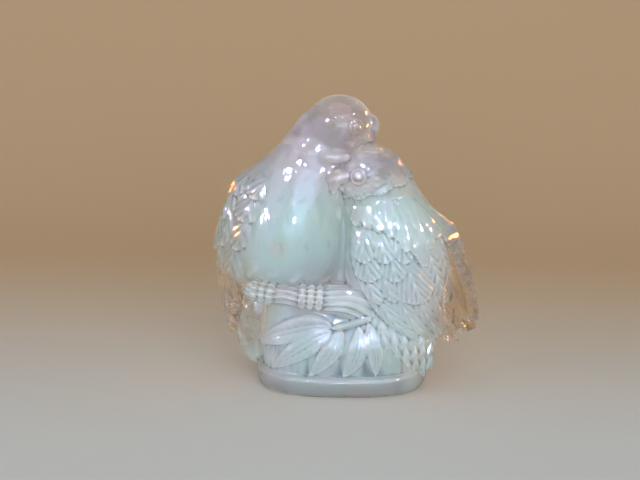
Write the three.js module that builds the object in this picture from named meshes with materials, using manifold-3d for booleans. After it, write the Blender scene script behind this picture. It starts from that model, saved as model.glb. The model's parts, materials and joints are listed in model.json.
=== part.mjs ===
// A pressed glass figurine: two lovebirds nestled on a branch, over an oval stump with leaves in relief.
// It comes from the mould as one solid piece of glass, so it is one mesh.
// Millimetres, +Z up. The origin is the middle of the flat underside, and the front faces -Y.
import * as THREE from "three";
import { mergeVertices } from "three/addons/utils/BufferGeometryUtils.js";
import Module from "manifold-3d";

// The oval stump, from the underside up: height, half-length along X, half-depth along Y.
const STUMP_PROFILE = [
  [0, 26, 18.2],
  [1.6, 27.8, 19.8],
  [5.6, 28, 20],
  [6.5, 27.3, 19.3],
  [7, 26.2, 17.9],
  [16, 26.8, 17],
  [30, 25.4, 13.8],
  [35, 19, 9],
];
const STUMP_SQUARENESS = 2.7;
const STUMP_SIDES = 40;

// The branch the birds grip: a line of x, y, z and radius.
const BRANCH_LINE = [
  [-30.5, -10.5, 33.4, 2.7],
  [-22, -14, 33, 3.1],
  [-11, -15.4, 32.4, 3.5],
  [0, -14.6, 31, 4.3],
  [9, -10.5, 27.6, 5.2],
];
const BRANCH_SIDES = 14;
const BRANCH_STATIONS = [0, 0.03, 0.2, 0.4, 0.6, 0.8, 1];
const BRANCH_WORN_END = 0.72;
const BARK_DEPTH = 0.35;

// Each torso is a line of x, y, z, half-width from wing to wing, and half-depth from breast to back.
const FRONT_TORSO = {
  turn: 12,
  line: [
    [-17.8, 1.5, 31, 16, 13],
    [-16.8, -0.6, 40, 17.6, 15.8],
    [-15.5, -1, 52, 17, 16.4],
    [-13.3, -0.5, 64, 15.4, 14.4],
    [-10.2, 0.2, 74, 14.2, 12.6],
    [-6, 0.2, 82, 11.4, 11.2],
    [-2, -0.2, 90, 9.4, 9.4],
  ],
};
const SIDE_TORSO = {
  turn: -70,
  line: [
    [20.5, -4, 14, 9.5, 10.5],
    [19, -3, 26, 12, 14],
    [17.6, -2.6, 38, 13.4, 17],
    [16, -2.4, 50, 12.4, 16],
    [12.6, -2.8, 62, 10.8, 12.6],
    [10.2, -3.8, 71, 9.4, 9.8],
    [8.8, -4.6, 79, 8, 8],
  ],
};
const TORSO_SIDES = 26;
const TORSO_RINGS = 13;

// Eggs of glass that close the gaps between the two bodies, and between the stump and the wing beside it.
const WEBS = [
  { centre: [0.5, 1, 44], size: [9, 9, 24] },
  { centre: [-28.5, 4, 19], size: [7, 8, 16] },
];

// Each head is an egg: its centre, then its half-length along the beak, half-width and half-height. The
// beak points to -Y, turned about Z, then nodded down. The skull has its own tilt.
const FRONT_HEAD = {
  centre: [-1.4, -0.6, 84.6],
  size: [11.4, 10.6, 10.4],
  turn: 80,
  tilt: -16,
  nod: 0,
  beak: { base: 0.66, long: 1, high: 1 },
};
const SIDE_HEAD = {
  centre: [8.6, -5.2, 70.6],
  size: [10, 9.6, 9.8],
  turn: -66,
  tilt: -8,
  nod: 6,
  beak: { base: 0.74, long: 1.45, high: 0.85 },
};

// Two soft folds fill out the necks: one behind the first bird's head, and one where the two heads meet.
const FOLDS = [
  { centre: [-6.6, 0, 82], size: [9.6, 9.4, 9], sides: 20, rings: 12 },
  { centre: [-2, -9.8, 76.8], size: [5.2, 3, 2.1], sides: 12, rings: 8 },
];

// The short feathers round each neck are a collar that follows the torso and comes to stand proud of it at
// the lip. Its shares of the torso's line are its top, its lip at the breast, and how much lower the lip is
// towards one wing.
const COLLARS = [
  { torso: FRONT_TORSO, top: 0.94, lip: 0.735, lean: 0.08, proud: 0.6, scallops: 9 },
  { torso: SIDE_TORSO, top: 0.94, lip: 0.77, lean: 0, proud: 0.8, scallops: 9 },
];
const COLLAR_SIDES = 36;
const COLLAR_RINGS = [0, 0.5, 1];

// Where the eyes are, in shares of the head's half-sizes. Each is turned round an axis that looks
// outward, from its ring to a groove and the ball within. A row is a radius and how far it stands out.
const EYE_PLACE = { ahead: 0.6, aside: 0.68, up: 0.16 };
const EYE_PROFILE = [
  [2.5, -0.8],
  [2.6, 1.1],
  [2, 1.6],
  [1.6, 1.2],
  [1.3, 1.9],
  [0.5, 2.4],
];
const EYE_SIDES = 10;

// The hooked beak: how far ahead of its base and how far up, the half-width and the half-height. A head
// says where its base is, in shares of the head's half-length, and how much longer and higher it is.
const BEAK_LINE = [
  [0, 1.8, 3.5, 3.4],
  [2.8, 1.4, 3.2, 3],
  [3.4, -1.4, 2.3, 1.9],
  [3.8, -4.3, 0.6, 0.5],
];
const BEAK_STATIONS = [0, 0.3, 0.6, 0.82, 1];
const BEAK_SIDES = 8;
const JAW = { ahead: 0.8, down: 0.22, size: [2.6, 2.3, 2.4] };

// The wing feathers lie in rows, from the shoulder at 0 to the wing's tip at 1. A row has its root and the
// tip of each feather, how much of the wing it spans from the leading edge at 0 to the trailing edge at 1,
// how far the scallops drop back between tips, how proud the tips stand, and how round the feathers are.
const WING_ROWS = [
  { root: 0.14, tips: [0.29, 0.31, 0.34], across: [0.02, 0.62], drop: 0.04, lift: 0.8 },
  { root: 0.26, tips: [0.41, 0.44], across: [0, 0.5], drop: 0.05, lift: 1 },
  { root: 0.34, tips: [0.56, 0.57], across: [0.01, 0.34], drop: 0.05, lift: 1 },
  { root: 0.34, tips: [0.63], across: [0.3, 0.74], drop: 0.07, lift: 1.6 },
  { root: 0.28, tips: [0.7, 0.72], across: [0.72, 1.01], drop: 0.06, lift: 1.4 },
  { root: 0.48, tips: [0.86, 0.92, 0.96, 1, 0.97], across: [0.01, 1], drop: 0.07, lift: 1.2 },
];

// The mantle lies over the top of the second bird's near wing, and its lip falls away towards the back.
const MANTLE_ROW = {
  root: 0,
  tips: [0.13, 0.14, 0.16, 0.19, 0.27, 0.39, 0.3, 0.26],
  across: [0, 1],
  drop: 0.02,
  lift: 1.8,
  round: 0.35,
};
const PLAIN_WING_ROWS = [
  { root: 0.02, tips: [0.28, 0.31, 0.32], across: [0.02, 0.98], drop: 0.05, lift: 1.1 },
  { root: 0.24, tips: [0.51, 0.56, 0.58], across: [0.01, 0.99], drop: 0.06, lift: 1.1 },
  { root: 0.46, tips: [0.92, 0.98, 1, 0.96], across: [0.01, 1], drop: 0.09, lift: 1.2 },
];

// Each wing is a sheet between a leading and a trailing edge, from the shoulder down to the tip.
const WINGS = {
  frontOuter: {
    lead: [[-14, -9, 77], [-20.5, -12, 64], [-28.6, -11.5, 49], [-33.2, -7, 34], [-33.4, -2, 12]],
    trail: [[-12, 7, 78], [-19, 11, 67], [-26.8, 15, 50], [-31.2, 13, 33], [-30.6, 5, 9]],
    out: [-1, 0.08, 0.1],
    bulge: 15.6,
    rows: WING_ROWS,
  },
  frontInner: {
    lead: [[-1, 6.5, 75], [4, 9, 62], [4, 11, 50], [0, 13, 38], [-14, 15, 20]],
    trail: [[-8, 9, 77], [-9, 15, 64], [-11, 16.5, 50], [-14, 17, 36], [-19, 15.5, 20]],
    out: [0.45, 0.9, 0],
    bulge: 3,
    rows: PLAIN_WING_ROWS,
  },
  sideNear: {
    lead: [[4.6, -9, 66], [3.6, -13.5, 46], [8, -16, 33.5], [17, -15.5, 22.5], [31, -12, 14]],
    trail: [[20.5, -8.5, 66], [31, -11.5, 53], [34.5, -9, 42], [37, -8, 30], [39.5, -7.5, 18]],
    out: [0.22, -1, 0.05],
    bulge: 7,
    rows: [MANTLE_ROW, ...WING_ROWS],
  },
  sideFar: {
    lead: [[9, 7.5, 65], [10, 13.5, 50], [15, 13.5, 38], [24, 12, 26], [39.5, 3, 13.5]],
    trail: [[22.5, -6, 64.5], [35.8, -3, 53.5], [40.4, -1, 43], [43.6, 0.5, 31], [45.4, 0.8, 18.8]],
    out: [0.62, 0.78, 0.05],
    bulge: 6.6,
    rows: PLAIN_WING_ROWS,
  },
};
const WING_THICKNESS = { shoulder: 10, tip: 3.6 };
const FEATHER_PARTS = 4;
const FEATHER_SUNK = 1.6;
const FEATHER_ROUND = 0.65;
const TIPS_BEYOND = 0.04;

// Each tail is a fan: a sheet between its two edges, from the rump to the feather tips.
const TAILS = {
  front: {
    lead: [[-27, 7, 38], [-33.5, 7, 22], [-36.4, 7, 7.6]],
    trail: [[-15, 15, 38], [-22, 16, 22], [-26.5, 16, 6]],
    out: [-0.45, 0.9, 0],
    bulge: 1.6,
    tips: [0.88, 0.97, 1, 0.95],
  },
  side: {
    lead: [[10, -12, 30], [13, -16.5, 18], [16.5, -18.6, 6.4]],
    trail: [[29, -8, 28], [30, -10.5, 17], [29.6, -12.5, 6.4]],
    out: [0.3, -1, 0],
    bulge: 2.6,
    tips: [0.56, 0.68, 0.82, 0.94, 1, 0.92],
  },
};
const TAIL_THICKNESS = 5;
const TAIL_DROP = 0.06;
const TAIL_LIFT = 1.3;

// A spray of leaves on the front of the stump's wall, and a plainer one on the back. The first number of
// each point runs along the wall from the middle of the front to the right, and the second is the height.
const FRONT_STEM = [[11, 26], [3, 23.6], [-3, 22.6]];
const FRONT_LEAVES = [
  { root: [-3, 23], bend: [-15, 24], tip: [-29, 14.6], half: 4.2 },
  { root: [-3, 21.4], bend: [-12, 17], tip: [-22, 8], half: 3.7 },
  { root: [0.6, 22], bend: [-2, 15], tip: [-9.4, 7], half: 3.2 },
  { root: [6.6, 23], bend: [7, 14], tip: [1, 7], half: 3.1 },
  { root: [10, 24], bend: [12, 16], tip: [11, 7.4], half: 2.8 },
];
const BACK_STEM = [[58, 25], [66, 23.6], [72, 22]];
const BACK_LEAVES = [
  { root: [72, 22.4], bend: [82, 26], tip: [94, 15], half: 4 },
  { root: [70, 22], bend: [77, 16], tip: [84, 7.6], half: 3.8 },
  { root: [65, 22.4], bend: [65, 15], tip: [68, 7], half: 3.6 },
  { root: [59, 24], bend: [53, 18], tip: [50, 8], half: 3.6 },
];
const LEAF_RELIEF = 1.7;
const LEAF_SUNK = 1.5;
const LEAF_STATIONS = [0, 0.18, 0.4, 0.62, 0.82, 1];
const STEM_STATIONS = [0, 0.33, 0.67, 1];

// Where each foot stands along the branch, and its toes, which curl from the top to low on the front.
const FEET = [0.2, 0.54];
const TOES = [-2.7, 0, 2.7];
const TOE_RADIUS = 1.45;
const TOE_SIDES = 5;
const TOE_CURL = { from: 109, to: -43 };
const TOE_STATIONS = [0, 0.12, 0.5, 0.88, 1];

// Faces that meet this flatly, in millimetres, are made one.
const FINISH = 0.05;

const UP = new THREE.Vector3(0, 0, 1);
const radians = THREE.MathUtils.degToRad;
const between = THREE.MathUtils.lerp;
const shift = (x, y, z) => new THREE.Matrix4().makeTranslation(x, y, z);
const step = (count, make) => Array.from({ length: count }, (_, i) => make(i));

const wasm = await Module();
wasm.setup();

// A smooth line through rows of numbers, which keeps every row. It takes a share of the way, 0 to 1.
function smoothLine(rows) {
  const last = rows.length - 1;
  const row = (i) => {
    if (i < 0) return rows[0].map((x, k) => 2 * x - rows[1][k]);
    if (i > last) return rows[last].map((x, k) => 2 * x - rows[last - 1][k]);
    return rows[i];
  };
  return (share) => {
    const i = THREE.MathUtils.clamp(Math.floor(share * last), 0, last - 1);
    const t = share * last - i;
    const [before, here, next, after] = [row(i - 1), row(i), row(i + 1), row(i + 2)];
    return here.map((x, k) => {
      const leaving = (next[k] - before[k]) / 2;
      const arriving = (after[k] - x) / 2;
      const rise = next[k] - x;
      const squared = 3 * rise - 2 * leaving - arriving;
      const cubed = leaving + arriving - 2 * rise;
      return x + t * (leaving + t * (squared + t * cubed));
    });
  };
}

// A closed solid from a geometry, whichever way round its faces are listed.
function solidOf(geometry) {
  const bare = geometry.clone();
  bare.deleteAttribute("normal");
  bare.deleteAttribute("uv");
  const merged = mergeVertices(bare, 1e-4);
  const vertProperties = new Float32Array(merged.attributes.position.array);
  const faces = step(merged.index.count / 3, (f) => [0, 1, 2].map((k) => merged.index.getX(3 * f + k)));
  const whole = faces.filter(([a, b, c]) => a !== b && b !== c && c !== a);
  const make = (list) =>
    new wasm.Manifold(
      new wasm.Mesh({ numProp: 3, vertProperties, triVerts: new Uint32Array(list.flat()) }),
    );
  const made = make(whole);
  return made.volume() > 0 ? made : make(whole.map(([a, b, c]) => [a, c, b]));
}

// A solid skinned over rings of points, all with the same count, and closed at both ends.
function skin(rings) {
  const sides = rings[0].length;
  const points = rings.flat();
  const faces = [];
  const next = (s) => (s + 1) % sides;
  for (let first = 0; first + sides < points.length; first += sides)
    for (let s = 0; s < sides; s++) {
      const [a, b] = [first + s, first + next(s)];
      faces.push(a, b, b + sides, a, b + sides, a + sides);
    }
  const close = (ring, first, turned) => {
    const middle = ring.reduce((sum, p) => sum.add(p), new THREE.Vector3()).divideScalar(sides);
    const centre = points.push(middle) - 1;
    for (let s = 0; s < sides; s++) {
      const edge = [first + s, first + next(s)];
      faces.push(...(turned ? edge.reverse() : edge), centre);
    }
  };
  close(rings[0], 0, true);
  close(rings.at(-1), (rings.length - 1) * sides, false);
  const geometry = new THREE.BufferGeometry().setFromPoints(points);
  geometry.setIndex(faces);
  return solidOf(geometry);
}

function egg(place, size, sides = 22, rings = 14) {
  return solidOf(new THREE.SphereGeometry(1, sides, rings).scale(...size).applyMatrix4(place));
}

// The frame of a head: X is ahead, turned about Z from -Y and then nodded down.
function frameOf(centre, turn, nod) {
  return shift(...centre)
    .multiply(new THREE.Matrix4().makeRotationZ(radians(turn - 90)))
    .multiply(new THREE.Matrix4().makeRotationY(radians(nod)));
}

// The stump is an oval whose size changes with height. An angle of 0 is the middle of the front.
function ovalAt(angle, [long, deep]) {
  const [x, y] = [Math.sin(angle), -Math.cos(angle)];
  const n = STUMP_SQUARENESS;
  const reach = (Math.abs(x / long) ** n + Math.abs(y / deep) ** n) ** (-1 / n);
  return [x * reach, y * reach];
}

function stumpSize(height) {
  const above = STUMP_PROFILE.findIndex(([z]) => z > height);
  const [[z0, ...size0], [z1, ...size1]] = STUMP_PROFILE.slice(above - 1, above + 1);
  return size0.map((x, i) => between(x, size1[i], (height - z0) / (z1 - z0)));
}

function stump() {
  return skin(
    STUMP_PROFILE.map(([height, ...size]) =>
      step(STUMP_SIDES, (s) => new THREE.Vector3(...ovalAt((2 * Math.PI * s) / STUMP_SIDES, size), height)),
    ),
  );
}

// A sheet is a curved surface in two measures, which gives a point raised by a height off the surface.
function sheetOf(pointAt, outAt, small) {
  return (a, b, height) => {
    const alongA = pointAt(a + small, b).sub(pointAt(a - small, b));
    const alongB = pointAt(a, b + small).sub(pointAt(a, b - small));
    const normal = alongA.cross(alongB).normalize();
    const side = Math.sign(normal.dot(outAt(a, b)));
    return pointAt(a, b).addScaledVector(normal, side * height);
  };
}

// The stump's wall as a sheet: millimetres round it at the height of the leaves, and the height.
const wallCurve = new THREE.CatmullRomCurve3(
  step(90, (i) => new THREE.Vector3(...ovalAt((2 * Math.PI * i) / 90, stumpSize(15)), 0)),
  true,
);
const wallRound = wallCurve.getLength();
const wallPoint = (way, height) => {
  const { x, y } = wallCurve.getPointAt(((way % wallRound) + wallRound) / wallRound % 1);
  const angle = Math.atan2(x, -y);
  return new THREE.Vector3(...ovalAt(angle, stumpSize(height)), height);
};
const wall = sheetOf(wallPoint, (way, height) => wallPoint(way, height).setZ(0), 0.2);

// A blade on the wall. At each share of its length it has a middle, a half-width and heights across it.
function blade(stations, middleAt, halfAt, heightsAt) {
  return skin(
    stations.map((share) => {
      const [way, height] = middleAt(share);
      const [[way0, height0], [way1, height1]] = [middleAt(share - 0.02), middleAt(share + 0.02)];
      const run = Math.hypot(way1 - way0, height1 - height0) / halfAt(share);
      const [across, up] = [(height0 - height1) / run, (way1 - way0) / run];
      const heights = heightsAt(share);
      const edges = [-1, 1].map((side) => wall(way + side * across, height + side * up, -LEAF_SUNK));
      const top = heights.map((rise, i) => {
        const side = (2 * i) / (heights.length - 1) - 1;
        return wall(way + side * across, height + side * up, rise);
      });
      return [edges[0], ...top, edges[1]];
    }),
  );
}

// A leaf has two rounded halves that dip to the midrib, or one ridge where it is plain.
function leaf({ root, bend, tip, half }, plain) {
  const [from, by, to] = [root, bend, tip].map((point) => new THREE.Vector2(...point));
  const line = new THREE.QuadraticBezierCurve(from, by, to);
  const narrow = (share) => Math.max(0.1, Math.sin(Math.PI * share ** 0.85) ** 0.7);
  return blade(
    LEAF_STATIONS,
    (share) => line.getPoint(share).toArray(),
    (share) => half * narrow(THREE.MathUtils.clamp(share, 0, 1)),
    (share) => {
      const full = LEAF_RELIEF * (0.55 + 0.45 * Math.sin(Math.PI * share));
      const edge = 0.45 * full;
      return plain ? [edge, full, edge] : [edge, full, 0.62 * full, full, edge];
    },
  );
}

function stem(points) {
  const heights = [0.8, 1.25, 0.8].map((share) => share * LEAF_RELIEF);
  return blade(STEM_STATIONS, smoothLine(points), () => 1, () => heights);
}

// A place on the branch: its middle, the way along it, the ways out to the front and up, and its radius.
const branchLine = smoothLine(BRANCH_LINE);
function branchAt(share) {
  const spot = (at) => new THREE.Vector3(...branchLine(at).slice(0, 3));
  const along = spot(share + 0.02).sub(spot(share - 0.02)).normalize();
  const outward = along.clone().cross(UP).normalize();
  const upward = outward.clone().cross(along);
  return { middle: spot(share), along, outward, upward, radius: branchLine(share)[3] };
}

function branch() {
  return skin(
    BRANCH_STATIONS.map((share) => {
      const { middle, outward, upward, radius } = branchAt(share);
      return step(BRANCH_SIDES, (s) => {
        const angle = (2 * Math.PI * s) / BRANCH_SIDES;
        const bark = s % 2 ? BARK_DEPTH : -BARK_DEPTH;
        const reach = (radius + bark) * (share === 0 ? BRANCH_WORN_END : 1);
        return middle
          .clone()
          .addScaledVector(outward, reach * Math.cos(angle))
          .addScaledVector(upward, reach * Math.sin(angle));
      });
    }),
  );
}

function toe(place, aside) {
  const { middle, along, outward, upward, radius } = branchAt(place);
  return skin(
    TOE_STATIONS.map((share) => {
      const angle = radians(between(TOE_CURL.from, TOE_CURL.to, share));
      const away = outward.clone().multiplyScalar(Math.cos(angle)).addScaledVector(upward, Math.sin(angle));
      const thick = TOE_RADIUS * Math.sqrt(Math.max(0.08, 1 - Math.abs(2 * share - 1) ** 5));
      return step(TOE_SIDES, (s) => {
        const round = (2 * Math.PI * s) / TOE_SIDES;
        return middle
          .clone()
          .addScaledVector(along, aside + 0.85 * thick * Math.sin(round))
          .addScaledVector(away, radius + 0.35 + thick * Math.cos(round));
      });
    }),
  );
}

// A point of a torso, which closes in roundly at both ends. An angle of 0 is the breast.
function torsoPoint({ line, turn }, share, angle, proud) {
  const along = smoothLine(line);
  const spot = (at) => new THREE.Vector3(...along(at).slice(0, 3));
  const wingward = new THREE.Vector3(1, 0, 0).applyAxisAngle(UP, radians(turn));
  const upward = spot(share + 0.02).sub(spot(share - 0.02)).normalize();
  const breastward = wingward.clone().cross(upward).normalize();
  const closing = Math.sqrt(1 - Math.max(0, 1 - share / 0.3, (share - 0.8) / 0.2) ** 3);
  const [wide, deep] = along(share).slice(3);
  return spot(share)
    .addScaledVector(wingward, (closing * wide + proud) * Math.sin(angle))
    .addScaledVector(breastward, (closing * deep + proud) * Math.cos(angle));
}

function torso(spec) {
  return skin(
    step(TORSO_RINGS + 1, (r) => {
      const share = (1 - Math.cos((Math.PI * (r + 0.35)) / (TORSO_RINGS + 0.7))) / 2;
      return step(TORSO_SIDES, (s) => torsoPoint(spec, share, (2 * Math.PI * s) / TORSO_SIDES, 0));
    }),
  );
}

// A collar runs down the torso to a scalloped lip, and is turned in under itself.
function collar({ torso: spec, top, lip, lean, proud, scallops }) {
  const ring = (along, out) =>
    step(COLLAR_SIDES, (s) => {
      const angle = (2 * Math.PI * s) / COLLAR_SIDES;
      const scallop = Math.abs(Math.cos((scallops * angle) / 2));
      const end = lip - lean * Math.sin(angle) - 0.022 * scallop;
      return torsoPoint(spec, between(top, end, along), angle, out);
    });
  return skin([...COLLAR_RINGS.map((along) => ring(along, proud * (0.2 + 0.8 * along))), ring(1.02, -1.2)]);
}

function eye(frame, size, side) {
  const { ahead, aside, up } = EYE_PLACE;
  const place = new THREE.Vector3(ahead * size[0], side * aside * size[1], up * size[2]);
  const outward = new THREE.Vector3(ahead, 1.5 * side * aside, up).normalize();
  const facing = new THREE.Quaternion().setFromUnitVectors(UP, outward);
  return skin(
    EYE_PROFILE.map(([radius, height]) =>
      step(EYE_SIDES, (s) => {
        const angle = (2 * Math.PI * s) / EYE_SIDES;
        const spot = new THREE.Vector3(radius * Math.cos(angle), radius * Math.sin(angle), height);
        return spot.applyQuaternion(facing).add(place).applyMatrix4(frame);
      }),
    ),
  );
}

function beak(frame, length, { base, long, high }) {
  const shape = BEAK_LINE.map(([x, z, w, h]) => [base * length + long * x, high * z, long * w, high * h]);
  const hook = smoothLine(shape);
  return skin(
    BEAK_STATIONS.map((share) => {
      const [x, z, wide, deep] = hook(share);
      const [[x0, z0], [x1, z1]] = [hook(share - 0.03), hook(share + 0.03)];
      const lean = Math.atan2(z1 - z0, x1 - x0);
      return step(BEAK_SIDES, (s) => {
        const angle = (2 * Math.PI * s) / BEAK_SIDES;
        const rise = deep * Math.sin(angle);
        const spot = [x - rise * Math.sin(lean), wide * Math.cos(angle), z + rise * Math.cos(lean)];
        return new THREE.Vector3(...spot).applyMatrix4(frame);
      });
    }),
  );
}

function head({ centre, size, turn, tilt, nod, beak: bill }) {
  const frame = frameOf(centre, turn, nod);
  const jaw = frame.clone().multiply(shift(JAW.ahead * size[0], 0, -JAW.down * size[0]));
  return [
    egg(frameOf(centre, turn, tilt), size),
    eye(frame, size, -1),
    eye(frame, size, 1),
    beak(frame, size[0], bill),
    egg(jaw, JAW.size, 8, 6),
  ];
}

// The sheet between a leading and a trailing edge, bulging between them.
function fan({ lead, trail, out, bulge }) {
  const [front, back] = [smoothLine(lead), smoothLine(trail)];
  const away = new THREE.Vector3(...out).normalize();
  const pointAt = (u, v) => {
    const rise = bulge * 4 * v * (1 - v) * Math.min(1, 0.5 + 2 * u) * (1 - 0.8 * u * u);
    return new THREE.Vector3(...front(u))
      .lerp(new THREE.Vector3(...back(u)), v)
      .addScaledVector(away, rise);
  };
  return { sheet: sheetOf(pointAt, () => away, 0.01), away };
}

// The body of a wing or a tail, behind its sheet. It ends a little short of the tips of the last feathers.
function plate({ sheet, away }, thicknessAt, tips, [lengthwise, crosswise]) {
  const tipLine = smoothLine(tips.map((tip) => [tip]));
  const endAt = (v) => tipLine(v)[0] - TIPS_BEYOND;
  return skin(
    step(lengthwise + 1, (i) => {
      const u = i / lengthwise;
      const outer = step(crosswise + 1, (j) => sheet(u * endAt(j / crosswise), j / crosswise, 0));
      const inner = outer.map((point) => point.clone().addScaledVector(away, -thicknessAt(u)));
      return [...outer, ...inner.reverse()];
    }),
  );
}

// A row of feathers side by side on a sheet. Each is ridged along its middle, stands proud at its tip and
// ends in a scallop, and the glass dips between it and the next.
function featherRow(sheet, { root, tips, across, drop, lift, round = FEATHER_ROUND }) {
  const count = tips.length * FEATHER_PARTS;
  const bends = Math.max(...tips) - root > 0.25 ? [0.5] : [];
  return skin(
    step(count + 1, (j) => {
      const v = between(...across, j / count);
      const side = Math.abs((2 * (j % FEATHER_PARTS)) / FEATHER_PARTS - 1);
      const own = Math.min(Math.floor(j / FEATHER_PARTS), tips.length - 1);
      const last = Math.max(0, Math.ceil(j / FEATHER_PARTS) - 1);
      const tip = (tips[own] + tips[Math.min(last, own)]) / 2 - drop * side ** 2;
      const rise = lift * (1 - round * side ** 2);
      return [
        sheet(root, v, -FEATHER_SUNK),
        sheet(root, v, -0.2),
        ...bends.map((share) => sheet(between(root, tip, share), v, 0.6 * rise)),
        sheet(tip, v, rise),
        sheet(tip - 0.01, v, -FEATHER_SUNK),
      ];
    }),
  );
}

function wing(spec) {
  const body = fan(spec);
  const thickness = (u) => between(WING_THICKNESS.shoulder, WING_THICKNESS.tip, u);
  const tips = spec.rows.at(-1).tips;
  return [plate(body, thickness, tips, [7, 4]), ...spec.rows.map((row) => featherRow(body.sheet, row))];
}

function tail(spec) {
  const body = fan(spec);
  const row = { root: 0.04, tips: spec.tips, across: [0, 1], drop: TAIL_DROP, lift: TAIL_LIFT };
  return [plate(body, () => TAIL_THICKNESS, spec.tips, [3, 4]), featherRow(body.sheet, row)];
}

// Where shapes cross, their faces meet in slivers and in corners that no edge needs. Each such corner is
// drawn along an edge into the next one, if the faces round it then move by less than the finish.
function finished(points, faces) {
  const around = points.map(() => new Set());
  faces.forEach((face, f) => face.forEach((v) => around[v].add(f)));
  const neighbours = (v) => new Set([...around[v]].flatMap((f) => faces[f]).filter((w) => w !== v));
  const distance = (v, w) => points[v].distanceTo(points[w]);
  const square = (face) => {
    const [a, b, c] = face.map((v) => points[v]);
    return b.clone().sub(a).cross(c.clone().sub(a));
  };
  const canGo = (from, to) => {
    const shared = neighbours(to);
    if ([...neighbours(from)].filter((v) => shared.has(v)).length !== 2) return false;
    const way = points[to].clone().sub(points[from]);
    return [...around[from]].every((f) => {
      if (faces[f].includes(to)) return true;
      const before = square(faces[f]);
      const after = square(faces[f].map((v) => (v === from ? to : v)));
      const size = before.length();
      if (after.length() < 1e-3) return false;
      if (size < 1e-3) return true;
      return Math.abs(before.dot(way)) < FINISH * size && before.dot(after) > 0.5 * size * after.length();
    });
  };
  const drawIn = (from) => {
    if (!around[from].size) return false;
    const nearest = [...neighbours(from)].sort((v, w) => distance(v, from) - distance(w, from));
    const to = nearest.find((v) => canGo(from, v));
    if (to === undefined) return false;
    for (const f of around[from]) {
      if (faces[f].includes(to)) {
        faces[f].filter((v) => v !== from).forEach((v) => around[v].delete(f));
        faces[f] = null;
      } else {
        faces[f] = faces[f].map((v) => (v === from ? to : v));
        around[to].add(f);
      }
    }
    around[from].clear();
    return true;
  };
  while (points.filter((_, v) => drawIn(v)).length);
  return faces.filter(Boolean);
}

const shapes = [
  stump(),
  branch(),
  torso(FRONT_TORSO),
  torso(SIDE_TORSO),
  ...WEBS.map(({ centre, size }) => egg(shift(...centre), size, 10, 6)),
  ...head(FRONT_HEAD),
  ...head(SIDE_HEAD),
  ...FOLDS.map(({ centre, size, sides, rings }) => egg(shift(...centre), size, sides, rings)),
  ...COLLARS.map(collar),
  ...Object.values(WINGS).flatMap(wing),
  ...Object.values(TAILS).flatMap(tail),
  ...FRONT_LEAVES.map((spec) => leaf(spec, false)),
  ...BACK_LEAVES.map((spec) => leaf(spec, true)),
  stem(FRONT_STEM),
  stem(BACK_STEM),
  ...FEET.flatMap((place) => TOES.map((aside) => toe(place, aside))),
];

// The shapes are one body of glass with no bubbles in it, so only the outer skin is kept.
const joined = shapes.reduce((whole, shape) => whole.add(shape));
const glass = joined.decompose().sort((a, b) => b.volume() - a.volume())[0];

const { vertProperties, triVerts } = glass.getMesh();
const corners = step(vertProperties.length / 3, (v) => new THREE.Vector3().fromArray(vertProperties, 3 * v));
const faces = step(triVerts.length / 3, (f) => [...triVerts.subarray(3 * f, 3 * f + 3)]);
const surface = new THREE.BufferGeometry().setFromPoints(corners);
surface.setIndex(finished(corners, faces).flat());

const opalescentGlass = new THREE.MeshStandardMaterial({
  color: 0xb9cad6,
  roughness: 0.08,
  metalness: 0,
  transparent: true,
  opacity: 0.6,
});

const lovebirds = new THREE.Mesh(mergeVertices(surface, 1e-4), opalescentGlass);
lovebirds.name = "lovebirds";

const figurine = new THREE.Group();
figurine.add(lovebirds);

export default figurine;
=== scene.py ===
# A pressed glass figurine: two lovebirds nestled on a branch, over an oval stump with leaves in relief.
# It leaves the mould as one solid piece of opalescent glass. Each form is modelled by itself, in millimetres,
# and all of them are then fused, so that the finished piece is one mesh, in metres.
import json
import math

import bpy
import numpy as np
from mathutils import Matrix, Vector
from mathutils.bvhtree import BVHTree

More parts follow.
